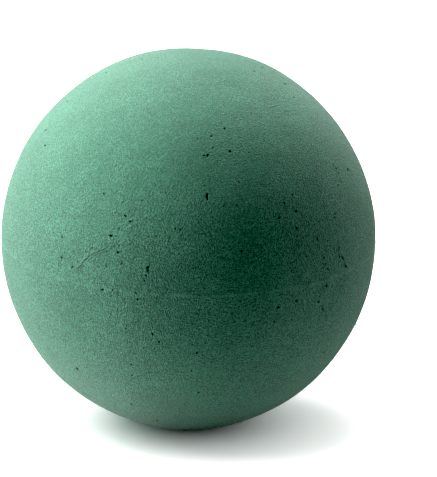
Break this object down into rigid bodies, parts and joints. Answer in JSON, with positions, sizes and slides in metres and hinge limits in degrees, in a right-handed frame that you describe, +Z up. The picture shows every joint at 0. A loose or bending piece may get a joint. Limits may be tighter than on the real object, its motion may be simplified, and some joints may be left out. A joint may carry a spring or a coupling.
{
  "type": "floral foam ball",
  "caption": "Round ball of stiff green floral foam with a faint level parting line and a small flat foot; flower stems push straight into it.",
  "frame": {"origin": "centre of the small resting flat at the foot of the ball, on its vertical axis", "axes": "+Z up along the ball's axis, square to the parting plane; the ball is round about it, so +X and +Y are any two level directions"},
  "size_m": [0.1202, 0.1202, 0.1221],
  "materials": {
    "foam": "matte"
  },
  "bodies": {
    "root": {"lower_half": "foam", "upper_half": "foam"}
  },
  "joints": []
}
